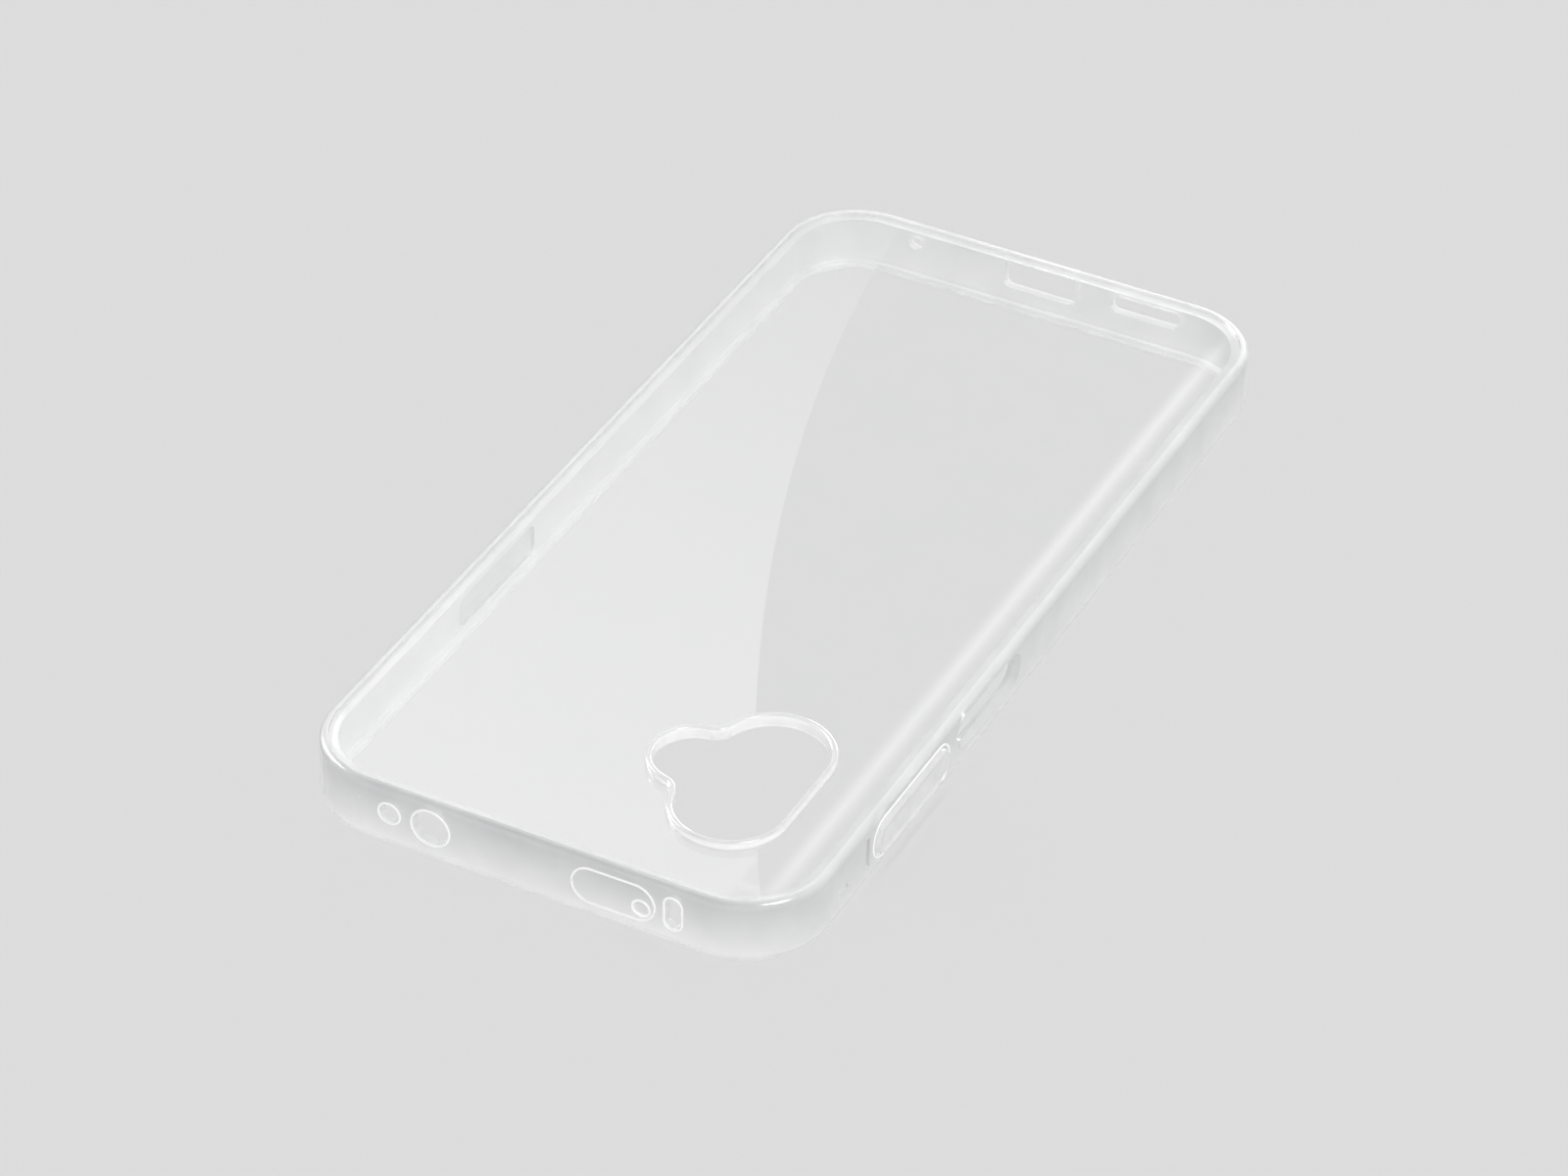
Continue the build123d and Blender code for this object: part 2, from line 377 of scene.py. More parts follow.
def growPiece(name, tree, values):
    carrier = linkObject(name + "Carrier", bpy.data.meshes.new(name + "Carrier"))
    modifier = carrier.modifiers.new(name, "NODES")
    modifier.node_group = tree
    ids = socketIds(tree)
    for label, value in values.items():
        modifier[ids[label]] = value
    return bakeModifiers(carrier, name)


wallTree = makeWallTree()
rimTree = makeRimTree()
beadTree = makeBeadTree()

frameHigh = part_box("bumper_frame")[1]
panelLow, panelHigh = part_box("back_panel")
frameSizes = {
    "cornerRadius": 12.8 * mm,
    "cornerSteps": 34,
    "wall": 1.5 * mm,
    "lipDepth": 2.5 * mm,
    "lipHeight": 1.0 * mm,
    "bottomRound": 2.0 * mm,
    "topRound": 1.0 * mm,
    "cove": 1.2 * mm,
    "lipRound": 0.25 * mm,
}
halfWidth, halfLength = frameHigh.x, frameHigh.y
backHeight = frameHigh.z
seatInset = halfWidth - panelHigh.x
seatHeight = panelLow.z


def frameSection():
    # (distance in from the outer face, height), all round the wall
    s = frameSizes
    section = arcPoints(s["bottomRound"], s["bottomRound"], s["bottomRound"], 270, 180, 16)
    section += arcPoints(s["topRound"], backHeight - s["topRound"], s["topRound"], 180, 90, 18)
    section += [(seatInset, backHeight), (seatInset, seatHeight)]
    coveIn = s["wall"] + s["cove"]
    section += arcPoints(coveIn, seatHeight - s["cove"], s["cove"], 90, 180, 7)
    section += [(s["wall"], s["lipHeight"])]
    section += arcPoints(s["lipDepth"] - s["lipRound"], s["lipHeight"] - s["lipRound"], s["lipRound"], 90, 0, 4)
    section += arcPoints(s["lipDepth"] - s["lipRound"], s["lipRound"], s["lipRound"], 0, -90, 4)
    return section


sectionCurve = pathObject("frameSection", [[(-inwards, -up, 0) for inwards, up in frameSection()]])
softFrame = growPiece("softFrame", wallTree, {
    "Width": 2 * halfWidth, "Length": 2 * halfLength, "Corner Radius": frameSizes["cornerRadius"],
    "Corner Steps": frameSizes["cornerSteps"], "Section": sectionCurve, "Material": milkyFrame})
discard(sectionCurve)
cleanShell(softFrame)

outsideLead = 1.0 * mm     # cutters start this far outside their face
insideLead = 0.4 * mm      # the relief's cutter starts this far in from the plain side's inner face


def onEndWall(a, b, k):
    # camera end
    return (a * mm, -halfLength - outsideLead + k, b * mm)


def onFarWall(a, b, k):
    return (a * mm, halfLength + outsideLead - k, b * mm)


def onButtonWall(a, b, k):
    return (halfWidth + outsideLead - k, a * mm, b * mm)


def onPlainWall(a, b, k):
    # inner face of the plain side
    return (-halfWidth + frameSizes["wall"] + insideLead - k, a * mm, b * mm)


# where each feature is centred on its wall, in millimetres along it and up
centres = {
    "cordHole": (-22.4, 6.2),
    "headphoneHole": (-15.9, 6.1),
    "endSlot": (21.8, 5.9),
    "tray": (12.6, 5.8),
    "trayDimple": (16.9, 5.0),
    "chargingPort": (0, 6.0),
    "speakerSlot": (17.9, 6.1),
    "micHole": (-21.6, 6.3),
    "powerSlot": (-19.0, 6.5),
    "powerMouth": (-19.0, 6.15),
    "padWindow": (-43.4, 5.6),
    "groove": (-57.0, 5.8),
    "nick": (-64.2, 4.7),
    "relief": (-24.8, 4.1),
}
powerSizes = {"slot": (18.6, 4.6), "mouth": (21.2, 6.1), "flareDepth": 0.8 * mm, "flareLead": 0.2 * mm}
pocketSizes = {"window": (22.9, 5.9), "pocket": (24.1, 7.1), "web": 0.6 * mm, "depth": 1.3 * mm}


def roundHole(radius, sides):
    return arcPoints(0, 0, radius, 0, 360 - 360 / sides, sides - 1)


def centred(name, outline):
    x, y = centres[name]
    return [(a + x, b + y) for a, b in outline]


# outlines in millimetres, their wall, and how deep each is cut from its cutter's start
openings = {
    "cordHole": (roundHole(1.5, 24), onEndWall, 5.0),
    "headphoneHole": (roundHole(2.8, 36), onEndWall, 5.0),
    "endSlot": (slotOutline(2.4, 5.2), onEndWall, 5.0),
    "trayDimple": (roundHole(1.3, 18), onEndWall, 1.4),
    "chargingPort": (roundedOutline(12.2, 5.2, 1.2, 6), onFarWall, 5.0),
    "speakerSlot": (roundedOutline(11.4, 3.0, 1.0, 6), onFarWall, 5.0),
    "micHole": (roundHole(1.1, 18), onFarWall, 5.0),
    "powerSlot": (slotOutline(*powerSizes["slot"]), onButtonWall, 3.5),
    "padWindow": (slotOutline(*pocketSizes["window"]), onButtonWall, 3.5),
    "groove": (slotOutline(1.3, 5.6), onButtonWall, 1.45),
    "nick": (slotOutline(2.8, 1.1), onButtonWall, 1.4),
    "relief": (roundedOutline(22.0, 5.0, 1.6, 6), onPlainWall, 0.9),
}


def cutterFor(name, outline, wall, depth):
    shape = centred(name, outline)
    return solidFromLoops(name, [[wall(a, b, k) for a, b in shape] for k in (0.0, depth * mm)])


def buttonSideLoop(name, size, x):
    return [(x, a * mm, b * mm) for a, b in centred(name, slotOutline(*size))]


def padPocket():
    # hollow behind the web for the pad's flange
    start = halfWidth - pocketSizes["web"]
    return solidFromLoops("padPocket", [
        buttonSideLoop("padWindow", pocketSizes["pocket"], x) for x in (start, start - pocketSizes["depth"])])


def powerFlare():
    # the power opening widens towards the outside
    return solidFromLoops("powerFlare", [
        buttonSideLoop("powerSlot", powerSizes["slot"], halfWidth - powerSizes["flareDepth"]),
        buttonSideLoop("powerMouth", powerSizes["mouth"], halfWidth + powerSizes["flareLead"])])


cutters = [cutterFor(name, *opening) for name, opening in openings.items()]
cutters += [padPocket(), powerFlare()]
for cutter in cutters:
    cut = softFrame.modifiers.new(cutter.name, "BOOLEAN")
    cut.operation = "DIFFERENCE"
    cut.solver = "EXACT"
    cut.object = cutter
softFrame = bakeModifiers(softFrame, "softFrame")
discard(*cutters)
cleanShell(softFrame, 1e-6)


def overhang(x, y):
    # how far a place lies past the straight stretches, across and along
    r = frameSizes["cornerRadius"]
    return abs(x) - (halfWidth - r), abs(y) - (halfLength - r)


def insetAt(x, y):
    # how far a place lies in from the outer face
    a, b = overhang(x, y)
    return frameSizes["cornerRadius"] - (math.hypot(a, b) if a > 0 and b > 0 else max(a, b))


# painted shade and light: tone level for each part of the frame, low painted darker and high painted paler, set
# to how light falls on it
paintedShadeLevels = {
    "inside": 0.52,
    "nearInside": 0.25,
    "seat": 0.3,
    "nearSeat": 0.2,
    "farSeat": 0.45,
    "lip": 0.4,
    "relief": 0.25,
    "sideCut": 0.0,
    "nearCut": 0.3,
    "farCut": 0.45,
    "rim": 0.75,
    "nearRim": 0.12,
    "farRim": 0.85,
    "underRim": 0.06,
    "underFarRim": 0.4,
    "base": 0.95,
    "sideBase": 0.42,
}


def blend(start, end, share):
    return start + (end - start) * share


def endShareAt(x, y):
    # 0 along the long sides, 1 along the end walls, turning round the corners
    a, b = (max(0.0, past) for past in overhang(x, y))
    return b * b / (a * a + b * b) if a + b > 0 else 0.0


def paintedShadeAt(place):
    # painted shade on the outer face, changing up towards the rim, with the ends painted differently from the
    # long sides
    levels = paintedShadeLevels
    inset, height = insetAt(place.x, place.y), place.z
    endShare = endShareAt(place.x, place.y)
    farShare = endShare if place.y > 0 else 0.0
    if inset > seatInset - 0.1 * mm and abs(height - seatHeight) < 0.05 * mm:
        return blend(levels["seat"], levels["farSeat" if place.y > 0 else "nearSeat"], endShare)
    if inset > 0.9 * frameSizes["wall"] and height < seatHeight + 0.1 * mm:
        return blend(levels["inside"], levels["nearInside"], endShare - farShare)
    rim = blend(levels["rim"], levels["farRim" if place.y > 0 else "nearRim"], endShare)
    under = blend(levels["underRim"], levels["underFarRim"], farShare)
    base = blend(levels["sideBase"], levels["base"], endShare)
    shoulder = backHeight - frameSizes["topRound"]
    if height > shoulder:
        return blend(under, rim, ((height - shoulder) / frameSizes["topRound"]) ** 4)
    lowest = frameSizes["bottomRound"]
    return blend(base, under, max(0.0, (height - lowest) / (shoulder - lowest)))


def cutPaintedShade(place):
    # painted shade on the openings' cut sides, darkest along the long sides
    if abs(place.y) < halfLength - frameSizes["cornerRadius"]:
        return paintedShadeLevels["sideCut"]
    return paintedShadeLevels["farCut" if place.y > 0 else "nearCut"]


# bounds that tell kinds of face apart, in millimetres of inset and height
faceBounds = {
    "cutSpan": 0.35,
    "cutLow": 1.5,
    "underSeat": 9.0,
    "cutTop": 9.25,
    "reliefNear": 0.8,
    "reliefFar": 1.2,
    "reliefTop": 7.0,
    "lipInset": 1.4,
    "lipTop": 1.1,
}


def faceKind(insets, heights):
    # insets and heights in millimetres
    f = faceBounds
    if min(insets) > f["lipInset"] and max(heights) < f["lipTop"]:
        return "lip"
    if f["reliefNear"] < min(insets) and max(insets) < f["reliefFar"] and max(heights) < f["reliefTop"]:
        return "relief"
    if max(insets) - min(insets) > f["cutSpan"] and f["cutLow"] < min(heights) < f["underSeat"]:
        if max(heights) < f["cutTop"]:
            return "cut"
    return "wall"


def addPaintedShade(piece):
    # painted shade: a tone level for every face corner, by kind of face and place
    mesh = piece.data
    haze = mesh.attributes.new("haze", "FLOAT", "CORNER")
    for face in mesh.polygons:
        places = [mesh.vertices[v].co for v in face.vertices]
        kind = faceKind([insetAt(p.x, p.y) / mm for p in places], [p.z / mm for p in places])
        for corner, place in zip(face.loop_indices, places):
            if kind in ("lip", "relief"):
                level = paintedShadeLevels[kind]
            else:
                level = cutPaintedShade(place) if kind == "cut" else paintedShadeAt(place)
            haze.data[corner].value = level


softFrame = smoothByAngle(softFrame)
addPaintedShade(softFrame)
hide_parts("bumper_frame")
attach(softFrame, "case")
print("case: soft frame, faces", len(softFrame.data.polygons))

beadSizes = {"radius": 0.21 * mm, "sides": 12, "sunk": 0.07 * mm, "lowSunk": 0.10 * mm}


def beadLoop(outline, wall):
    # on the outer face, and sunk deeper into it along its lower side
    heights = [b for a, b in outline]
    low, span = min(heights), max(heights) - min(heights)
    return [
        wall(a, b, outsideLead + beadSizes["sunk"] + beadSizes["lowSunk"] * (1 - (b - low) / span) ** 2)
        for a, b in outline]


beads = {
    "cordHole": (roundHole(1.72, 45), onEndWall),
    "headphoneHole": (roundHole(3.0, 60), onEndWall),
    "endSlot": (slotOutline(2.8, 5.6, 14), onEndWall),
    "tray": (slotOutline(12.8, 6.0, 18), onEndWall),
    "trayDimple": (roundHole(1.35, 45), onEndWall),
    "chargingPort": (roundedOutline(12.6, 5.6, 1.4, 10), onFarWall),
    "speakerSlot": (roundedOutline(11.8, 3.4, 1.2, 10), onFarWall),
    "micHole": (roundHole(1.3, 45), onFarWall),
    "padWindow": (slotOutline(23.5, 6.5, 18), onButtonWall),
}
beadLoops = [beadLoop(centred(name, outline), wall) for name, (outline, wall) in beads.items()]
beadPaths = pathObject("beadPaths", beadLoops)
openingBeads = growPiece("openingBeads", beadTree, {
    "Outline": beadPaths, "Bead Radius": beadSizes["radius"], "Bead Sides": beadSizes["sides"],
    "Material": beadPlastic})
discard(beadPaths)
cleanShell(openingBeads)
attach(openingBeads, "case")
print("case: beads round the openings")

ringSizes = {
    "lobeRadius": 8.0,
    "lobeX": 20.4,
    "farLobeY": -49.1,
    "nearLobeY": -61.8,
    "smallRadius": 6.0,
    "smallX": 11.2,
    "smallY": -54.9,
    "waistRadius": 3.2,
    "sleeve": 0.5,
    "flange": 0.9,
    "round": 0.28,
    "foot": 0.1,
}


def waistCentre(big, side):
    # centre of the hollow blend between a large lobe and the small one
    s = ringSizes
    small = Vector((s["smallX"], s["smallY"]))
    reachBig, reachSmall = s["lobeRadius"] + s["waistRadius"], s["smallRadius"] + s["waistRadius"]
    line = small - big
    along = (line.length ** 2 + reachBig ** 2 - reachSmall ** 2) / (2 * line.length)
    away = math.sqrt(reachBig ** 2 - along ** 2)
    unit = line.normalized()
    return big + unit * along + Vector((-unit.y, unit.x)) * away * side


def bearing(start, end):
    return math.degrees(math.atan2(end.y - start.y, end.x - start.x)) % 360


def cameraOutline(grow):
    # the opening's outline in millimetres, grown outwards, going anticlockwise
    s = ringSizes
    far, near = Vector((s["lobeX"], s["farLobeY"])), Vector((s["lobeX"], s["nearLobeY"]))
    small = Vector((s["smallX"], s["smallY"]))
    farWaist, nearWaist = waistCentre(far, -1), waistCentre(near, 1)
    big, little, waist = s["lobeRadius"] + grow, s["smallRadius"] + grow, s["waistRadius"] - grow

    def hollow(centre, start, end):
        # a waist's arc turns the other way
        first = bearing(centre, start)
        return arcPoints(centre.x, centre.y, waist, first, first - (first - bearing(centre, end)) % 360, 14)[1:]

    points = arcPoints(far.x, far.y, big, 0, bearing(far, farWaist), 36)
    points += hollow(farWaist, far, small)
    points += arcPoints(small.x, small.y, little, bearing(small, farWaist), bearing(small, nearWaist), 30)[1:]
    points += hollow(nearWaist, small, near)
    points += arcPoints(near.x, near.y, big, bearing(near, nearWaist), 360, 36)[1:]
    return points


# the broad faces stay just clear of the seat and the ring's flange (gap),
# and the edges run just inside the frame and the ring's sleeve (tuck)
sheetSizes = {"edge": 0.08 * mm, "edgeSteps": 3, "gap": 0.03 * mm, "tuck": 0.03 * mm, "cornerSteps": 30}
edgeIn = sheetSizes["edge"] - sheetSizes["tuck"]
sheetCurve = bpy.data.curves.new("clearSheetOutline", "CURVE")
sheetCurve.dimensions = "2D"
sheetCurve.fill_mode = "BOTH"
sheetCurve.extrude = (panelHigh.z - panelLow.z) / 2 - sheetSizes["gap"] - sheetSizes["edge"]
sheetCurve.bevel_depth = sheetSizes["edge"]
sheetCurve.bevel_resolution = sheetSizes["edgeSteps"]
sheetOutline = roundedOutline(
    2 * (panelHigh.x - edgeIn), 2 * (panelHigh.y - edgeIn),
    frameSizes["cornerRadius"] - seatInset - edgeIn, sheetSizes["cornerSteps"])
holeOutline = [(x * mm, y * mm) for x, y in reversed(cameraOutline(ringSizes["sleeve"] + edgeIn / mm))]
for outline in (sheetOutline, holeOutline):
    spline = sheetCurve.splines.new("POLY")
    spline.points.add(len(outline) - 1)
    for point, (x, y) in zip(spline.points, outline):
        point.co = (x, y, 0, 1)
    spline.use_cyclic_u = True
flatBeyond = 0.999
clearBack = bakeModifiers(linkObject("clearBackCurve", sheetCurve), "clearBack")
for vertex in clearBack.data.vertices:
    vertex.co.z += (panelLow.z + panelHigh.z) / 2
clearBack.data.materials.clear()
clearBack.data.materials.append(clearSheet)
cleanShell(clearBack)
for face in clearBack.data.polygons:
    face.use_smooth = abs(face.normal.z) < flatBeyond      # the two broad faces stay flat
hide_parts("back_panel")
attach(clearBack, "case")
print("case: clear back sheet, faces", len(clearBack.data.polygons))

ringLow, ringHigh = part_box("camera_ring")


def ringSection():
    # (distance out from the opening, height)
    s = ringSizes
    r, foot = s["round"] * mm, s["foot"] * mm
    sleeve, flange = s["sleeve"] * mm, s["flange"] * mm
    section = [(0, ringLow.z + foot), (foot, ringLow.z), (sleeve, ringLow.z)]
    section += [(sleeve, backHeight), (flange, backHeight)]
    section += arcPoints(flange - r, ringHigh.z - r, r, 0, 90, 6)
    section += arcPoints(r, ringHigh.z - r, r, 90, 180, 6)
    return section


ringPath = pathObject("ringPath", [[(x * mm, y * mm, 0) for x, y in cameraOutline(0)[:-1]]])
ringCurve = pathObject("ringSection", [[(out, -up, 0) for out, up in ringSection()]])
cameraGuard = growPiece("cameraGuard", rimTree, {
    "Outline": ringPath, "Section": ringCurve, "Material": ringPlastic})
discard(ringPath, ringCurve)
cleanShell(cameraGuard)
cameraGuard = smoothByAngle(cameraGuard, 50)
topPaintedShade = 0.85      # painted shade: pale sides, top painted darker
guardPaintedShade = cameraGuard.data.attributes.new("haze", "FLOAT", "FACE")
# painted shade: the more a face looks up, the darker it is painted
for face, value in zip(cameraGuard.data.polygons, guardPaintedShade.data):
    value.value = 1.0 - topPaintedShade * max(0.0, face.normal.z)
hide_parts("camera_ring")
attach(cameraGuard, "case")
print("case: camera guard ring")

padLow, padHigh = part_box("volume_pad")
padSizes = {
    "length": 22.4,
    "height": 5.4,
    "flangeRound": 0.08,
    "flangeThick": 0.4,
    "crown": 0.5,
    "crownSteps": 6,
    "faceEdge": 0.35,
    "faceDrop": 0.02,
    "dishEdge": 0.8,
    "dish": 0.12,
}


def padRing(x, shrink):
    outline = slotOutline(padSizes["length"] - 2 * shrink, padSizes["height"] - 2 * shrink, 12)
    middle = (padLow + padHigh) / 2
    return [(x, middle.y + a * mm, middle.z + b * mm) for a, b in outline]


def makePad():
    # flange, bar, crowned edge and a dished face, as rings joined by faces
    s = padSizes
    flangeGrow = (padHigh.y - padLow.y) / mm / 2 - s["length"] / 2
    flangeTop, top = padLow.x + s["flangeThick"] * mm, padHigh.x
    rings = [
        padRing(padLow.x, s["flangeRound"] - flangeGrow),
        padRing(padLow.x + s["flangeRound"] * mm, -flangeGrow),
        padRing(flangeTop, -flangeGrow),
        padRing(flangeTop, 0),
    ]
    for i in range(s["crownSteps"] + 1):
        angle = math.radians(90 * i / s["crownSteps"])
        rings.append(padRing(top - s["crown"] * mm * (1 - math.sin(angle)), s["crown"] * (1 - math.cos(angle))))
    rings.append(padRing(top - s["faceDrop"] * mm, s["crown"] + s["faceEdge"]))
    rings.append(padRing(top - s["dish"] * mm, s["crown"] + s["dishEdge"]))
    return solidFromLoops("volumePad", rings)


volumePad = makePad()
cleanShell(volumePad)
volumePad.data.materials.append(padPlastic)
volumePad = smoothByAngle(volumePad, 40)
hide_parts("volume_pad")
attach(volumePad, "volume_button")
print("case: volume pad")

shot = {
    "aim": (0.0006, -0.0078, 0.005),
    "azimuth": 26.84,
    "elevation": 36.86,
    "distance": 0.8401,
    "roll": 1.07,
    "lens": 133.2,
    "sensor": 36.0,
}
cameraData = bpy.data.cameras.new("shotCamera")
cameraData.lens = shot["lens"]
cameraData.sensor_width = shot["sensor"]
cameraData.dof.use_dof = False
shotCamera = linkObject("shotCamera", cameraData)
turn, lift = math.radians(shot["azimuth"]), math.radians(shot["elevation"])
back = Vector((math.sin(turn) * math.cos(lift), -math.cos(turn) * math.cos(lift), math.sin(lift)))
shotCamera.location = Vector(shot["aim"]) + back * shot["distance"]
shotCamera.rotation_mode = "QUATERNION"
level = (-back).to_track_quat("-Z", "Y").to_matrix()
tilt = math.radians(shot["roll"])
right = level.col[0] * math.cos(tilt) + level.col[1] * math.sin(tilt)
up = level.col[1] * math.cos(tilt) - level.col[0] * math.sin(tilt)
level.col[0], level.col[1] = right, up
shotCamera.rotation_quaternion = level.to_quaternion()
scene.camera = shotCamera

floorLook = {"tone": 0.66, "reach": 12.0, "drop": 0.05 * mm}
floorMaterial = bpy.data.materials.new("paleFloor")
floorMaterial.use_nodes = True
floorShade = floorMaterial.node_tree.nodes["Principled BSDF"]
floorShade.inputs["Base Color"].default_value = (*[floorLook["tone"]] * 3, 1)
floorShade.inputs["Roughness"].default_value = 1.0
floorShade.inputs["Specular IOR Level"].default_value = 0.0
floorMesh = bpy.data.meshes.new("floor")
floorCorners = [(x * floorLook["reach"], y * floorLook["reach"], -floorLook["drop"])
                for x, y in ((-1, -1), (1, -1), (1, 1), (-1, 1))]
floorMesh.from_pydata(floorCorners, [], [(0, 1, 2, 3)])
floorMesh.materials.append(floorMaterial)
floor = linkObject("floor", floorMesh)

world = bpy.data.worlds.new("softStudio")
scene.world = world
world.use_nodes = True
studio = world.node_tree
studio.nodes.clear()
where, parts = studio.nodes.new("ShaderNodeTexCoord"), studio.nodes.new("ShaderNodeSeparateXYZ")
studio.links.new(where.outputs["Generated"], parts.inputs[0])


def studioRamp(axis, start, end, low, high):
    ramp = studio.nodes.new("ShaderNodeMapRange")
    ramp.interpolation_type = "SMOOTHSTEP"
    for label, value in (("From Min", start), ("From Max", end), ("To Min", low), ("To Max", high)):
        ramp.inputs[label].default_value = value
    studio.links.new(parts.outputs[axis], ramp.inputs["Value"])
    return ramp.outputs["Result"]


def studioMath(operation, first, second):
    step = studio.nodes.new("ShaderNodeMath")
    step.operation = operation
    studio.links.new(first, step.inputs[0])
    studio.links.new(second, step.inputs[1])
    return step.outputs[0]


frontEnd, backStart, backLevel = -0.6, 0.45, 0.72
overhead = studioRamp("Z", 0.30, 0.60, 0.62, 0.22)          # the front is dark only overhead
lowBand = studioRamp("Z", 0.25, 0.50, 0.8, 0.0)             # a bright band low down behind
behind = studioRamp("Y", 0.0, 0.7, 0.0, 1.0)
sky, skyOut = studio.nodes.new("ShaderNodeBackground"), studio.nodes.new("ShaderNodeOutputWorld")
sky.inputs["Color"].default_value = (1, 1, 1, 1)
frontLight = studioMath("MULTIPLY", overhead, studioRamp("Y", frontEnd, backStart, 1.0, 0.0))
backLight = studioRamp("Y", frontEnd, backStart, 0.0, backLevel)
backLight = studioMath("ADD", backLight, studioMath("MULTIPLY", lowBand, behind))
studio.links.new(studioMath("ADD", frontLight, backLight), sky.inputs["Strength"])
studio.links.new(sky.outputs[0], skyOut.inputs[0])


def turnTowards(turned, direction):
    turned.rotation_mode = "QUATERNION"
    turned.rotation_quaternion = Vector(direction).to_track_quat("-Z", "Y")


def softbox(name, place, size, power):
    # aimed at the case, and seen only as a highlight
    lamp = bpy.data.lights.new(name, "AREA")
    lamp.shape = "RECTANGLE"
    lamp.size, lamp.size_y = size
    lamp.energy = power
    lampObject = linkObject(name, lamp)
    lampObject.location = place
    turnTowards(lampObject, -Vector(place))
    lampObject.visible_diffuse = False


softbox("leftCornerBox", (-1.84, 0.30, 0.95), (0.70, 1.80), 60.0)
softbox("farCornerBox", (-0.27, 2.10, 0.50), (0.90, 0.60), 26.0)
softbox("nearCornerBox", (0.98, -0.28, 1.70), (0.60, 0.90), 26.0)


def broadSun(name, energy, spread, direction):
    # even light for matt surfaces, left out of highlights
    lamp = bpy.data.lights.new(name, "SUN")
    lamp.energy = energy
    lamp.angle = spread
    lampObject = linkObject(name, lamp)
    turnTowards(lampObject, direction)
    lampObject.visible_glossy = False
    lampObject.visible_transmission = False


broadSun("ceilingGlow", 1.24, 2.4, (0, 0, -1))
broadSun("frontFill", 1.05, 1.2, (-0.55, 0.78, -0.34))

cardHeight = 0.55


def seenInBack(x, y):
    # the point on the card plane that the back sheet mirrors to the camera at (x, y) millimetres
    spot = Vector((x * mm, y * mm, backHeight))
    ray = spot - shotCamera.location
    return spot + Vector((ray.x, ray.y, -ray.z)) * ((cardHeight - backHeight) / -ray.z)


def stageCard(name, mesh, material):
    # a card that only mirrors and clear parts see
    mesh.materials.append(material)
    card = linkObject(name, mesh)
    card.visible_camera = False
    card.visible_diffuse = False
    card.visible_shadow = False


def glowMaterial(name, strength, fades=False):
    # plain glow, or one that follows the mesh's fade and is otherwise clear
    material = bpy.data.materials.new(name)
    material.use_nodes = True
    tree = material.node_tree
    tree.nodes.clear()
    add, join = tree.nodes.new, tree.links.new
    glow, out = add("ShaderNodeEmission"), add("ShaderNodeOutputMaterial")
    if not fades:
        glow.inputs["Strength"].default_value = strength
        join(glow.outputs[0], out.inputs["Surface"])
        return material
    level, scaled = add("ShaderNodeAttribute"), add("ShaderNodeMath")
    clear, both = add("ShaderNodeBsdfTransparent"), add("ShaderNodeAddShader")
    level.attribute_name = "fade"
    scaled.operation = "MULTIPLY"
    scaled.inputs[1].default_value = strength
    join(level.outputs["Fac"], scaled.inputs[0])
    join(scaled.outputs[0], glow.inputs["Strength"])
    join(glow.outputs[0], both.inputs[0])
    join(clear.outputs[0], both.inputs[1])
    join(both.outputs[0], out.inputs["Surface"])
    return material


def reflectionCard(name, rows, strength, fadeAt):
    # rows of points on the back sheet, each turned into a row of card points
    last, columns = len(rows) - 1, len(rows[0])
    points = [seenInBack(x, y) for row in rows for x, y in row]
    faces = []
    for start in range(0, last * columns, columns):
        for a in range(start, start + columns - 1):
            faces.append((a, a + 1, a + columns + 1, a + columns))
    mesh = bpy.data.meshes.new(name)
    mesh.from_pydata(points, [], faces)
    fade = mesh.attributes.new("fade", "FLOAT", "POINT")
    levels = [fadeAt(r / last, c / (columns - 1)) for r in range(last + 1) for c in range(columns)]
    fade.data.foreach_set("value", levels)
    stageCard(name, mesh, glowMaterial(name, strength, True))


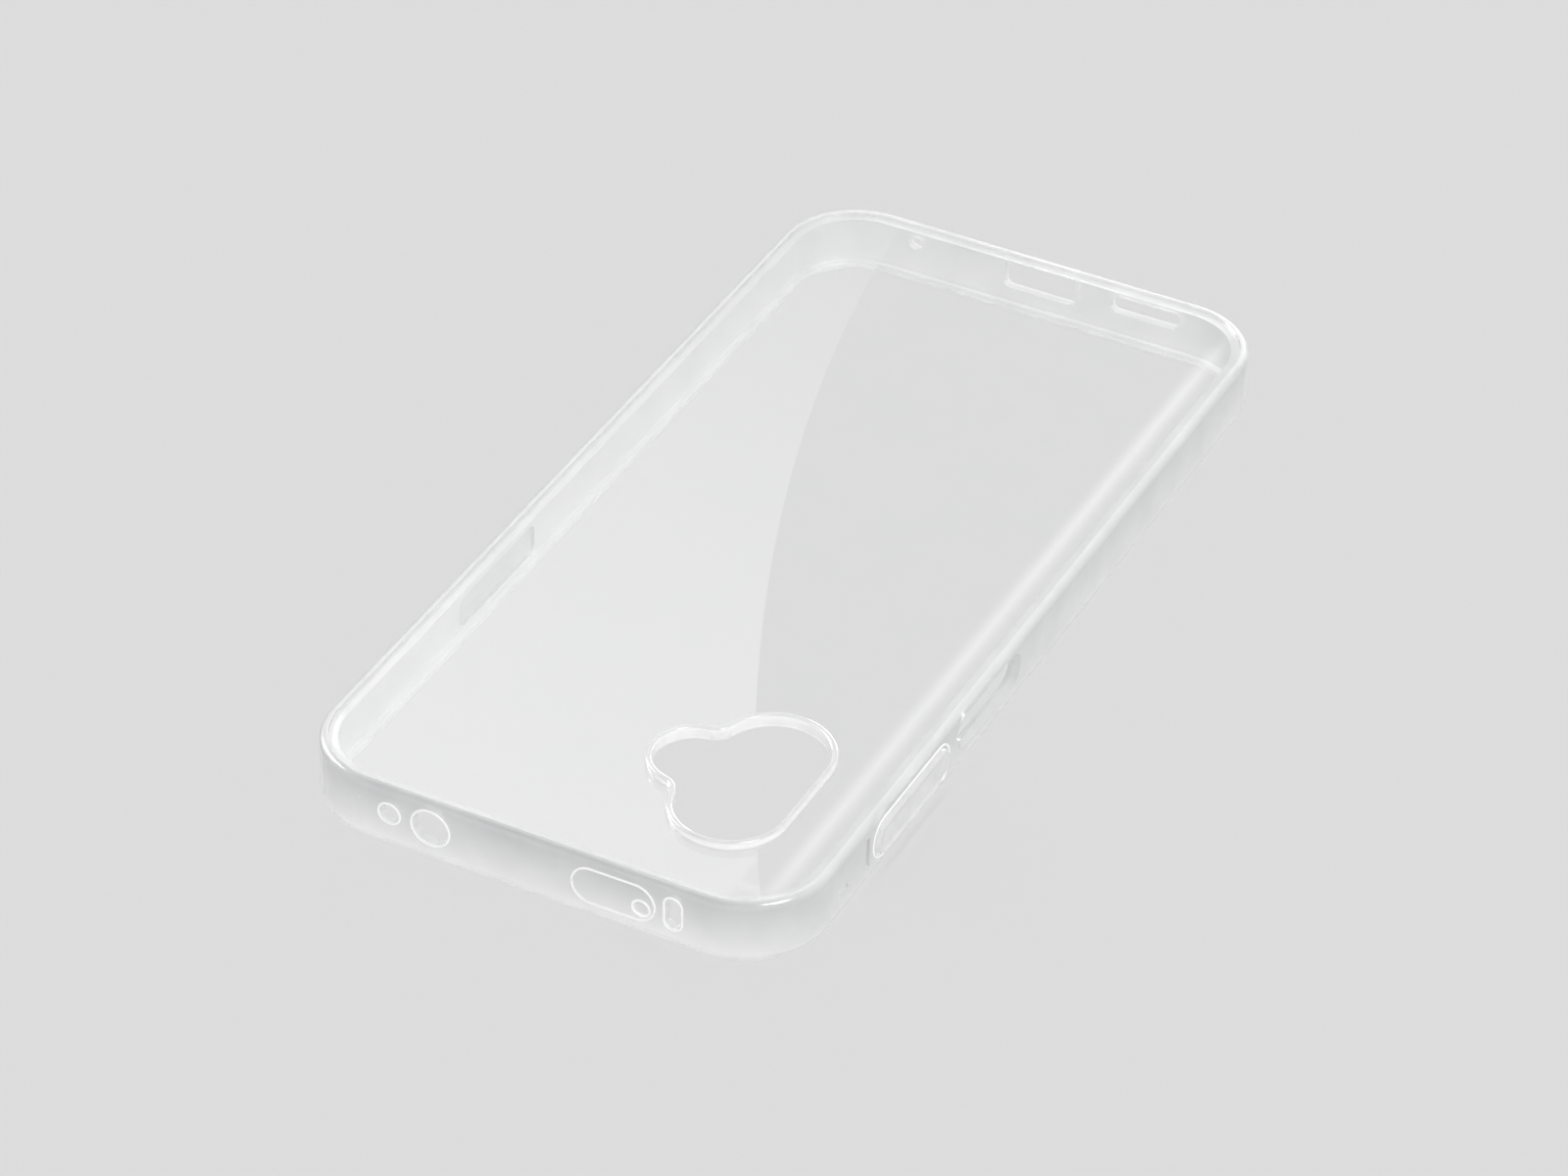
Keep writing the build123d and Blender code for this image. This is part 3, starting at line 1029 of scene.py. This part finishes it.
# broad light to the left of a gentle curve, fading towards the far end; millimetres on the back sheet
broadLight = {
    "middle": -4.25,
    "lean": -0.367,
    "bow": 0.00152,
    "start": -88.0,
    "span": 178.0,
    "left": -60.0,
    "strength": 0.98,
}


def broadPoint(share, y):
    b = broadLight
    edge = b["middle"] + b["lean"] * y + b["bow"] * y * y
    return (b["left"] + (edge - b["left"]) * share, y)


broadHeights = [broadLight["start"] + broadLight["span"] * i / 40 for i in range(41)]
broadRows = [[broadPoint(j / 8, y) for j in range(9)] for y in broadHeights]
reflectionCard(
    "broadCard", broadRows, broadLight["strength"], lambda along, wide: max(0.0, 1.0 - along) ** 0.8)

# a narrow soft streak beside the button side
streak = {
    "middle": 33.8,
    "halfWidth": 5.0,
    "soft": 0.8,
    "start": -84.0,
    "span": 160.0,
    "ends": 14,
    "strength": 1.15,
}


def streakPoint(share, along):
    return (streak["middle"] + streak["halfWidth"] * (2 * share - 1), streak["start"] + streak["span"] * along)


def streakFade(along, wide):
    across = (2 * wide - 1) * streak["halfWidth"] / streak["soft"]
    return math.exp(-across ** 2 / 2) * min(1.0, along * streak["ends"], (1 - along) * streak["ends"])


streakRows = [[streakPoint(j / 12, i / 20) for j in range(13)] for i in range(21)]
reflectionCard("streakCard", streakRows, streak["strength"], streakFade)

# low white cards standing beside the case, seen only through or in the plastic
lowCards = {"top": 0.022, "behindGap": 14.0 * mm, "behindReach": 0.07, "leftGap": 13.0 * mm, "leftReach": 0.095}


def bounceCard(name, start, end, strength):
    top = lowCards["top"]
    mesh = bpy.data.meshes.new(name)
    mesh.from_pydata([(*start, 0), (*end, 0), (*end, top), (*start, top)], [], [(0, 1, 2, 3)])
    stageCard(name, mesh, glowMaterial(name, strength))


behindY, leftX = halfLength + lowCards["behindGap"], -halfWidth - lowCards["leftGap"]
bounceCard("behindCard", (-lowCards["behindReach"], behindY), (lowCards["behindReach"], behindY), 0.95)
bounceCard("leftCard", (leftX, -lowCards["leftReach"]), (leftX, lowCards["leftReach"]), 0.6)

scene.view_settings.view_transform = "Standard"
scene.view_settings.look = "None"
scene.view_settings.exposure = 0.0
scene.view_settings.gamma = 1.0
print("case: camera, floor and light")
